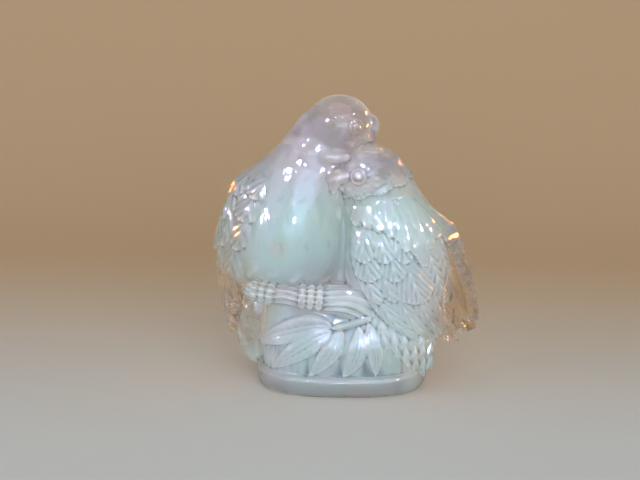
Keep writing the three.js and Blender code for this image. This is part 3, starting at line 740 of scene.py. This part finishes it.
# Each tail is a fan of long narrow feathers, laid as a wing's are, from the rump to the tips.
# The second bird's hangs down the front of the stump, and the first bird's is behind.
TAIL_THICKNESS = (5, 5)
TAILS = {
    "front_tail": {
        "lead": [(-27, 7, 38), (-33.5, 7, 22), (-36.4, 7, 7.6)],
        "trail": [(-15, 15, 38), (-22, 16, 22), (-26.5, 16, 6)],
        "out": (-0.45, 0.9, 0), "bulge": 1.6, "tips": [0.88, 0.97, 1, 0.95],
    },
    "side_tail": {
        "lead": [(10, -12, 30), (13, -16.5, 18), (16.5, -18.6, 6.4)],
        "trail": [(29, -8, 28), (30, -10.5, 17), (29.6, -12.5, 6.4)],
        "out": (0.3, -1, 0), "bulge": 2.6, "tips": [0.56, 0.68, 0.82, 0.94, 1, 0.92],
    },
}
for name, spec in TAILS.items():
    row = {"root": 0.04, "tips": spec.pop("tips"), "across": (0, 1), "drop": 0.06, "lift": 1.3}
    feathered(name, (80, 90), TAIL_THICKNESS, [row], **spec)

# The mould presses all of this in one go, and the fire then polishes it: the forms are fused and their joins
# run together, most of all at the necks. A neck is a spot, how far round it the glass is fully smoothed, and
# how far round it that has faded out. The mesh is then thinned where the glass is plain.
FUSED_GRAIN = 0.27
POLISH_PASSES = 2
NECK_PASSES = 140
NECKS = [((-9, -1, 83.5), 10, 13), ((-5, -8, 79), 5, 8), ((9, 2, 72), 6, 10)]
MOST_TRIANGLES = 190000


def finish_with(form, kind, **settings):
    """Adds a modifier to a form and applies it."""
    modifier = form.modifiers.new(kind, kind)
    for name, value in settings.items():
        setattr(modifier, name, value)
    bpy.ops.object.modifier_apply(modifier=modifier.name)


def fused(name, grain, polish):
    """Fuses the forms made so far into one mesh with this name, and smooths its joins."""
    bpy.ops.object.select_all(action="DESELECT")
    for form in forms:
        form.select_set(True)
    bpy.context.view_layer.objects.active = forms[0]
    bpy.ops.object.join()
    forms.clear()
    whole = bpy.context.object
    whole.name = name
    finish_with(whole, "REMESH", mode="VOXEL", voxel_size=grain * MM, use_smooth_shade=True)
    finish_with(whole, "SMOOTH", factor=0.5, iterations=polish)
    return whole


glass = fused("lovebirds_glass", FUSED_GRAIN, POLISH_PASSES)
necks = glass.vertex_groups.new(name="necks")
for vertex in glass.data.vertices:
    here = vertex.co / MM
    near = [(outer - (here - Vector(spot)).length) / (outer - inner) for spot, inner, outer in NECKS]
    if max(near) > 0:
        necks.add([vertex.index], min(1, max(near)), "REPLACE")
finish_with(glass, "SMOOTH", factor=0.5, iterations=NECK_PASSES, vertex_group="necks")

# Fusing can leave closed hollows inside. Only the shell that the highest point is on is kept.
bpy.ops.object.mode_set(mode="EDIT")
bpy.ops.mesh.select_all(action="DESELECT")
bpy.ops.object.mode_set(mode="OBJECT")
heights = [vertex.co.z for vertex in glass.data.vertices]
glass.data.vertices[int(np.argmax(heights))].select = True
bpy.ops.object.mode_set(mode="EDIT")
bpy.ops.mesh.select_mode(type="VERT")
bpy.ops.mesh.select_linked()
bpy.ops.mesh.select_all(action="INVERT")
bpy.ops.mesh.delete(type="VERT")
bpy.ops.object.mode_set(mode="OBJECT")
thinned = MOST_TRIANGLES / (2 * len(glass.data.polygons))
finish_with(glass, "DECIMATE", ratio=thinned, use_collapse_triangulate=True)
bpy.ops.object.shade_smooth()

# Relief stands a few tenths of a millimetre past the solid's box in places, and is set back onto it. What
# ends up just above the table is set flat on it.
TABLE_REACH = 0.12

points = np.empty(3 * len(glass.data.vertices))
glass.data.vertices.foreach_get("co", points)
points = np.clip(points.reshape(-1, 3), low, high)
points[:, 2] = np.where(points[:, 2] < TABLE_REACH * MM, 0, points[:, 2])
glass.data.vertices.foreach_set("co", points.ravel())
glass.data.update()

# How deep the glass is behind each point of its surface decides how milky it looks. It is measured by
# rays into the glass, and kept with the mesh in millimetres.
DEPTH_RAYS = [(0, 0), (0.5, 0), (-0.5, 0), (0, 0.5), (0, -0.5)]
DEEPEST = 34
DEPTH_BLUR = 12
RAY_START = 0.05

surface = BVHTree.FromObject(glass, bpy.context.evaluated_depsgraph_get())
depths = np.empty(len(glass.data.vertices))
for vertex in glass.data.vertices:
    inward = -vertex.normal
    one = inward.orthogonal().normalized()
    other = inward.cross(one)
    start = vertex.co + inward * RAY_START * MM
    ways = []
    for a, b in DEPTH_RAYS:
        found = surface.ray_cast(start, (inward + a * one + b * other).normalized(), DEEPEST * MM)[3]
        ways.append(DEEPEST if found is None else found / MM)
    depths[vertex.index] = sum(ways) / len(ways)
edges = np.empty(2 * len(glass.data.edges), int)
glass.data.edges.foreach_get("vertices", edges)
edges = edges.reshape(-1, 2)
neighbours = np.bincount(edges.ravel(), minlength=len(depths))


def averaged(values, passes):
    """A value of each point, averaged with its neighbours' a number of times."""
    for _ in range(passes):
        total = np.bincount(edges[:, 0], values[edges[:, 1]], len(values))
        total += np.bincount(edges[:, 1], values[edges[:, 0]], len(values))
        values = (values + total) / (1 + neighbours)
    return values


def keep(name, values):
    """Keeps a value of each point with the mesh."""
    glass.data.attributes.new(name, "FLOAT", "POINT").data.foreach_set("value", values)


keep("depth", averaged(depths, DEPTH_BLUR))

# The shader paints ridges paler and milkier, as a painted highlight, and grooves darker, as painted shade.
# For that, how far each point stands out of the glass around it is kept as well, in millimetres, less what a
# broad round form gives everywhere. It is less than 0 in a groove.
CREASE_PASSES = 4
CREASE_BROAD = 25
CREASE_BLUR = 1

normals = np.empty(3 * len(glass.data.vertices))
glass.data.vertices.foreach_get("normal", normals)
around = np.stack([averaged(points[:, axis], CREASE_PASSES) for axis in range(3)], axis=1)
creases = np.sum((points - around) * normals.reshape(-1, 3), axis=1) / MM
keep("crease", averaged(creases - averaged(creases, CREASE_BROAD), CREASE_BLUR))


# The glass strikes milky where it stays hot longest, in the thick middle of each form, and keeps a clear
# skin. The milk is a core with a thinner haze around it, and each of them fills a share of the forms.
MILK_GRAIN = 0.7
MILK_POLISH = 2
MILK_TOP = 29
STUMP_BOWL = 0.2
MILK_EGGS = {
    "side_head": ((8, -4.4, 65.5), (5, 5, 5)),
    "between": ((0, 2, 42), (8, 7, 22)),
    "near_wing": ((20, -9, 40), (10, 6.4, 22)),
    "tail": ((21, -9, 17), (7, 6, 12)),
}
HAZE = {"filled": 0.9, "skin": 1.3, "torso_top": 0.8, "eggs": list(MILK_EGGS)}
CORE = {"filled": 0.7, "skin": 3.2, "torso_top": 0.72, "eggs": ["between", "near_wing", "tail"]}


def milk(name, filled, skin, torso_top, eggs):
    """A layer of the milk: how much of each form it fills, and how thick the skin over the stump is."""

    def stump_milk(share, angle):
        height = skin + (MILK_TOP - skin) * share
        closing = np.sqrt(np.maximum(0.001, 1 - np.clip(1 - share / STUMP_BOWL, 0, 1) ** 2.4 - share**9))
        long, deep = (closing * (size - skin) for size in stump_size(height))
        return np.stack([*oval(angle, long, deep), height], axis=1)

    def branch_milk(share, angle):
        middle, _, outward, upward, radius = branch_frame(share)
        reach = 0.8 * filled * radius * np.sqrt(np.maximum(0, 1 - (2 * share[:, None] - 1) ** 8))
        return middle + reach * (outward * np.cos(angle)[:, None] + upward * np.sin(angle)[:, None])

    wrap(ball("stump_milk", 64, 40), stump_milk)
    wrap(ball("branch_milk", 24, 60), branch_milk)
    for body in (FRONT_TORSO, SIDE_TORSO):
        wrap(
            ball("torso_milk", 64, 64),
            lambda share, angle: torso_point(
                **body, share=0.04 + (torso_top - 0.04) * share, angle=angle,
                filled=filled * np.sin(np.pi * share) ** 0.4,
            ),
        )
    for place in eggs:
        centre, size = MILK_EGGS[place]
        egg(place, centre, size, filled=filled)
    return fused(name, MILK_GRAIN, MILK_POLISH)


haze = milk("milk_haze", **HAZE)
core = milk("milk_core", **CORE)


def linear(colour):
    """A colour written as sRGB hex, as the linear one that a shader takes."""
    channels = [int(colour[i : i + 2], 16) / 255 for i in (1, 3, 5)]
    return (*[c / 12.92 if c <= 0.04045 else ((c + 0.055) / 1.055) ** 2.4 for c in channels], 1)


def add(tree, kind, settings, **sockets):
    """Adds one node. Each socket is given a value, or the output that feeds it."""
    made = tree.nodes.new(kind)
    for name, value in settings.items():
        setattr(made, name, value)
    for name, value in sockets.items():
        name = int(name[1:]) if name[0] == "_" else name.replace("_", " ")
        if isinstance(value, bpy.types.NodeSocket):
            tree.links.new(value, made.inputs[name])
        else:
            made.inputs[name].default_value = value
    return made


def material(name):
    """A new material with nothing in it but its output."""
    made = bpy.data.materials.new(name)
    made.use_nodes = True
    made.node_tree.nodes.clear()
    return made, made.node_tree


# Opalescent glass, pressed and fire-polished, with a thin lustre. It is soda glass, so its IOR is 1.52 and it
# is glossy, and the lustre is a film of some hundred nanometres that gives a faint play of colour. Where the
# glass is thick it is milky, in drifts of pale blue, aqua and grey that turn lilac toward the heads. Where it
# is thin, and at the crown and the wing tips, which cooled first, it is clear.
GLASS_IOR = 1.52
GLASS_ROUGHNESS = 0.025
LUSTRE_THICKNESS = 350.0
LUSTRE_IOR = 1.65
RIPPLE_SIZE = 2.2
RIPPLE_HEIGHT = 0.12
DRIFT_SIZE = 26
HEADS_FROM = 58
HEADS_FULL = 80
CLEAR_TINT = "#F8EFDF"
MILKY_TINTS = ["#D8DEE6", "#D7E4EB", "#D3E7EB", "#D1E8E8", "#DEDFE0"]
HEAD_TINT = "#BFB2C9"
# Painted shade: the grooves' colour is multiplied by this grey.
GROOVE_PAINTED_SHADE = "#8C979C"
# Painted highlight: the ridges' colour is drawn toward this pale blue-white.
RIDGE_PAINTED_HIGHLIGHT = "#E8F0F6"
SHADOW_TINT = "#F4E8D8"

# A place is a spot, how far round it its factor holds, how far round it that has faded out, and the factor
# that the milkiness is multiplied by there.
MILKINESS_PLACES = [
    ((3, -4, 96), 6, 20, 0.15),
    ((-5, -8, 80), 8, 18, 1.2),
    ((9, -5, 81), 5, 12, 0.4),
    ((-35, -2, 22), 6, 20, 0.15),
    ((43, 0, 32), 12, 26, 0.15),
    ((17, -14, 38), 12, 22, 1.6),
    ((0, -18, 14), 18, 30, 1.8),
    ((26, -6, 3), 6, 14, 2.2),
    ((-26, -6, 3), 6, 14, 1.7),
]


def drifting_tints(tree, place, colours):
    """Soft drifts of several colours, a few centimetres across, as a colour output."""
    drift = add(
        tree, "ShaderNodeTexNoise", {}, Vector=place.outputs["Object"], Scale=1 / (DRIFT_SIZE * MM),
        Detail=2.0, Roughness=0.5, Distortion=0.6,
    )
    tints = add(tree, "ShaderNodeValToRGB", {}, Fac=drift.outputs["Fac"])
    ramp = tints.color_ramp
    for number, colour in enumerate(colours):
        stop = 0.3 + 0.4 * number / (len(colours) - 1)
        point = ramp.elements[number] if number < 2 else ramp.elements.new(stop)
        point.position = stop
        point.color = linear(colour)
    return tints.outputs["Color"]


opal, tree = material("opalescent_pressed_glass")
place = add(tree, "ShaderNodeTexCoord", {})
depth_of = add(tree, "ShaderNodeAttribute", {"attribute_name": "depth"})
milky = add(
    tree, "ShaderNodeMapRange", {"interpolation_type": "SMOOTHSTEP"},
    Value=depth_of.outputs["Fac"], From_Min=3.0, From_Max=18.0, To_Min=0.03, To_Max=0.26,
).outputs["Result"]
for spot, inner, outer, factor in MILKINESS_PLACES:
    from_spot = add(
        tree, "ShaderNodeVectorMath", {"operation": "DISTANCE"},
        _0=place.outputs["Object"], _1=[number * MM for number in spot],
    )
    local = add(
        tree, "ShaderNodeMapRange", {"interpolation_type": "SMOOTHSTEP"},
        Value=from_spot.outputs["Value"], From_Min=inner * MM, From_Max=outer * MM, To_Min=factor, To_Max=1.0,
    )
    milky = add(
        tree, "ShaderNodeMath", {"operation": "MULTIPLY"}, _0=milky, _1=local.outputs["Result"]
    ).outputs["Value"]
crease_of = add(tree, "ShaderNodeAttribute", {"attribute_name": "crease"})
# Painted shade: a mask that darkens the grooves.
groove = add(
    tree, "ShaderNodeMapRange", {"interpolation_type": "SMOOTHSTEP"},
    Value=crease_of.outputs["Fac"], From_Min=-0.02, From_Max=-0.13, To_Min=0.0, To_Max=0.8,
)
# Painted highlight: a mask that pales the ridges and makes them milkier.
ridge = add(
    tree, "ShaderNodeMapRange", {"interpolation_type": "SMOOTHSTEP"},
    Value=crease_of.outputs["Fac"], From_Min=0.03, From_Max=0.12, To_Min=0.0, To_Max=0.8,
)
ridge_highlight_milk = add(tree, "ShaderNodeMath", {"operation": "MULTIPLY"}, _0=ridge.outputs["Result"], _1=0.16)
all_milk = add(tree, "ShaderNodeMath", {"operation": "ADD"}, _0=milky, _1=ridge_highlight_milk.outputs["Value"])
clearness = add(
    tree, "ShaderNodeMath", {"operation": "SUBTRACT", "use_clamp": True}, _0=1.0, _1=all_milk.outputs["Value"]
)
drifts = drifting_tints(tree, place, MILKY_TINTS)
upright = add(tree, "ShaderNodeSeparateXYZ", {}, Vector=place.outputs["Object"])
headward = add(
    tree, "ShaderNodeMapRange", {"interpolation_type": "SMOOTHSTEP"},
    Value=upright.outputs["Z"], From_Min=HEADS_FROM * MM, From_Max=HEADS_FULL * MM, To_Min=0.0, To_Max=0.6,
)
skin_tints = add(
    tree, "ShaderNodeMix", {"data_type": "RGBA"}, _0=headward.outputs["Result"], _6=drifts,
    _7=linear(HEAD_TINT),
).outputs[2]
skin_milk = add(
    tree, "ShaderNodeMapRange", {}, Value=milky, From_Min=0.03, From_Max=0.2, To_Min=0.0, To_Max=1.0
)
skin = add(
    tree, "ShaderNodeMix", {"data_type": "RGBA"}, _0=skin_milk.outputs["Result"], _6=linear(CLEAR_TINT),
    _7=skin_tints,
)
# Painted shade in the grooves.
shaded = add(
    tree, "ShaderNodeMix", {"data_type": "RGBA", "blend_type": "MULTIPLY"}, _0=groove.outputs["Result"],
    _6=skin.outputs[2], _7=linear(GROOVE_PAINTED_SHADE),
)
# Painted highlight on the ridges.
lit = add(
    tree, "ShaderNodeMix", {"data_type": "RGBA"}, _0=ridge.outputs["Result"], _6=shaded.outputs[2],
    _7=linear(RIDGE_PAINTED_HIGHLIGHT),
)
ripples = add(
    tree, "ShaderNodeTexNoise", {}, Vector=place.outputs["Object"], Scale=1 / (RIPPLE_SIZE * MM), Detail=1.5
)
uneven = add(
    tree, "ShaderNodeBump", {}, Strength=0.9, Distance=RIPPLE_HEIGHT * MM, Height=ripples.outputs["Fac"]
)
glass_shader = add(
    tree, "ShaderNodeBsdfPrincipled", {}, Normal=uneven.outputs["Normal"],
    Base_Color=lit.outputs[2], Roughness=GLASS_ROUGHNESS, IOR=GLASS_IOR,
    Thin_Film_Thickness=LUSTRE_THICKNESS, Thin_Film_IOR=LUSTRE_IOR,
    Transmission_Weight=clearness.outputs["Value"],
    Subsurface_Weight=1.0, Subsurface_Radius=(0.9, 0.95, 1.0), Subsurface_Scale=0.012,
)
glass_shader.inputs["Transmission Weight"].default_value = 0.85

# Lamplight passes through clear glass, so most of it goes by instead of leaving a dark shadow.
lamps_pass = add(tree, "ShaderNodeBsdfTransparent", {}, Color=linear(SHADOW_TINT))
ray = add(tree, "ShaderNodeLightPath", {})
let_by = add(tree, "ShaderNodeMath", {"operation": "MULTIPLY"}, _0=ray.outputs["Is Shadow Ray"], _1=0.85)
both = add(
    tree, "ShaderNodeMixShader", {}, _0=let_by.outputs["Value"], _1=glass_shader.outputs["BSDF"],
    _2=lamps_pass.outputs["BSDF"],
)
add(tree, "ShaderNodeOutputMaterial", {}, Surface=both.outputs["Shader"])
glass.data.materials.clear()
glass.data.materials.append(opal)
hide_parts("lovebirds")
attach(glass, "root")


INNER_MILK_TINTS = ["#DAE1E9", "#DAE6EC", "#D7E8EC", "#D5E9E9", "#E1E2E4"]


def milk_material(name, thick):
    """The milk itself: blue-white, soft, and lit from all sides."""
    made, tree = material(name)
    place = add(tree, "ShaderNodeTexCoord", {})
    tints = drifting_tints(tree, place, INNER_MILK_TINTS)
    shader = add(
        tree, "ShaderNodeBsdfPrincipled", {}, Base_Color=tints, Roughness=0.9, Alpha=thick,
        Subsurface_Weight=1.0, Subsurface_Radius=(0.9, 0.95, 1.0), Subsurface_Scale=0.015,
        Specular_IOR_Level=0.0,
    )
    add(tree, "ShaderNodeOutputMaterial", {}, Surface=shader.outputs["BSDF"])
    return made


for form, name, thick in ((haze, "milk_haze", 0.45), (core, "milk_core", 0.85)):
    form.data.materials.clear()
    form.data.materials.append(milk_material(name, thick))
    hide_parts("lovebirds")
    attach(form, "root")

# The stage is a plain paper sheet that lies flat under the figurine and sweeps up behind it, pale grey below
# and warm tan above. Its sizes are in metres.
SHEET_LENGTH = 4.5
SHEET_FRONT = 3.5
SHEET_HALF_WIDTH = 3
SWEEP_START = 0.16
SWEEP_RADIUS = 0.3
FLOOR_COLOUR = "#BFC4C4"
BACK_COLOUR = "#B7A083"
COLOUR_FROM = -0.08

bpy.ops.object.select_all(action="DESELECT")
bpy.ops.mesh.primitive_grid_add(x_subdivisions=2, y_subdivisions=160, size=2)
backdrop = bpy.context.object
backdrop.name = "backdrop"


def sweep(x, y, z):
    """The sheet: flat in front, then round, then upright."""
    way = (y + 1) / 2 * SHEET_LENGTH - SHEET_FRONT
    angle = np.clip((way - SWEEP_START) / SWEEP_RADIUS, 0, np.pi / 2)
    beyond = np.maximum(0, way - SWEEP_START - SWEEP_RADIUS * np.pi / 2)
    run = np.minimum(way, SWEEP_START) + SWEEP_RADIUS * np.sin(angle)
    rise = SWEEP_RADIUS * (1 - np.cos(angle)) + beyond
    return x * SHEET_HALF_WIDTH / MM, run / MM, rise / MM


shape(backdrop, sweep)
forms.remove(backdrop)
bpy.ops.object.shade_smooth()
paper, tree = material("backdrop_paper")
on_sheet = add(tree, "ShaderNodeTexCoord", {})
sheet_axes = add(tree, "ShaderNodeSeparateXYZ", {}, Vector=on_sheet.outputs["Object"])
far = add(
    tree, "ShaderNodeMapRange", {"interpolation_type": "SMOOTHSTEP"},
    Value=sheet_axes.outputs["Y"], From_Min=COLOUR_FROM, From_Max=SWEEP_START, To_Min=0.0, To_Max=1.0,
)
shade = add(
    tree, "ShaderNodeMix", {"data_type": "RGBA"}, _0=far.outputs["Result"], _6=linear(FLOOR_COLOUR),
    _7=linear(BACK_COLOUR),
)
paper_shader = add(
    tree, "ShaderNodeBsdfPrincipled", {}, Base_Color=shade.outputs[2], Roughness=0.8, Specular_IOR_Level=0.0
)
add(tree, "ShaderNodeOutputMaterial", {}, Surface=paper_shader.outputs["BSDF"])
backdrop.data.materials.append(paper)
backdrop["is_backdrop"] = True

# The light is soft: a broad lamp above and a little to the right of the camera, one overhead, a fill from the
# left, and a low one in front. A row is azimuth and elevation in degrees, size in metres, power in watts and
# colour. Small weak lamps are there only for the glints in the gloss, white ones around the front and amber
# ones at the sides and behind. Their rows are azimuth and elevation.
LAMP_DISTANCE = 1.2
SOFT_LAMPS = {
    "soft_key": (18, 30, 1.2, 5.8, "#FFFAF4"),
    "soft_top": (0, 75, 1.2, 3.8, "#FFFAF4"),
    "fill": (-60, 15, 1.0, 3.8, "#F4F6FF"),
    "low_fill": (6, 3, 1.0, 7.0, "#F4F6FF"),
}
GLINT_DISTANCE = 0.7
GLINT_SIZE = 0.04
WHITE_GLINTS = [(-44, 34), (-20, 38), (12, 42), (36, 22), (-4, 12), (62, 40), (-70, 12), (24, -6)]
WHITE_GLINT_POWER = 1.4
AMBER_GLINTS = [(128, 24), (84, 14), (-118, 12), (150, 40), (104, 4)]
AMBER_GLINT_POWER = 1.3


def lamp(name, azimuth, elevation, distance, size, power, colour):
    """A square studio lamp that faces the birds."""
    way = toward(azimuth, elevation)
    bpy.ops.object.light_add(
        type="AREA", location=LOOKED_AT + distance * way, rotation=way.to_track_quat("Z", "Y").to_euler()
    )
    made = bpy.context.object
    made.name = name
    made.data.size = size
    made.data.energy = power
    made.data.color = linear(colour)[:3]
    return made


def glint(name, azimuth, elevation, power, colour):
    """A small lamp for the gloss of the glass. It leaves dull surfaces dark, but still lights the milk a
    little, so it is kept weak."""
    made = lamp(name, azimuth, elevation, GLINT_DISTANCE, GLINT_SIZE, power, colour)
    made.visible_diffuse = False


for name, (azimuth, elevation, size, power, colour) in SOFT_LAMPS.items():
    lamp(name, azimuth, elevation, LAMP_DISTANCE, size, power, colour)
for number, (azimuth, elevation) in enumerate(WHITE_GLINTS):
    glint(f"white_glint_{number}", azimuth, elevation, WHITE_GLINT_POWER, "#FFFFFF")
for number, (azimuth, elevation) in enumerate(AMBER_GLINTS):
    glint(f"amber_glint_{number}", azimuth, elevation, AMBER_GLINT_POWER, "#FF8A3A")

# The room is what the clear glass shows behind and in it: brown from level down, warm tan a little above
# that, and pale overhead. A stop is the height of the way looked, from 0 when level to 1 when straight up.
ROOM_STOPS = [(0.0, "#54493C"), (0.3, "#A8957C"), (0.75, "#F2F4F8")]
ROOM_STRENGTH = 0.45

world = bpy.data.worlds.new("studio")
bpy.context.scene.world = world
world.use_nodes = True
looked_way = add(world.node_tree, "ShaderNodeTexCoord", {})
room_axes = add(world.node_tree, "ShaderNodeSeparateXYZ", {}, Vector=looked_way.outputs["Generated"])
room = add(world.node_tree, "ShaderNodeValToRGB", {}, Fac=room_axes.outputs["Z"])
for number, (stop, colour) in enumerate(ROOM_STOPS):
    point = room.color_ramp.elements[number] if number < 2 else room.color_ramp.elements.new(stop)
    point.position = stop
    point.color = linear(colour)
background = world.node_tree.nodes["Background"]
world.node_tree.links.new(room.outputs["Color"], background.inputs["Color"])
background.inputs["Strength"].default_value = ROOM_STRENGTH
bpy.context.scene.view_settings.view_transform = "Standard"

plain = lambda box: [[float(number) for number in corner] for corner in box]
{"cad": plain(cad_box), "visual": plain(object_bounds())}
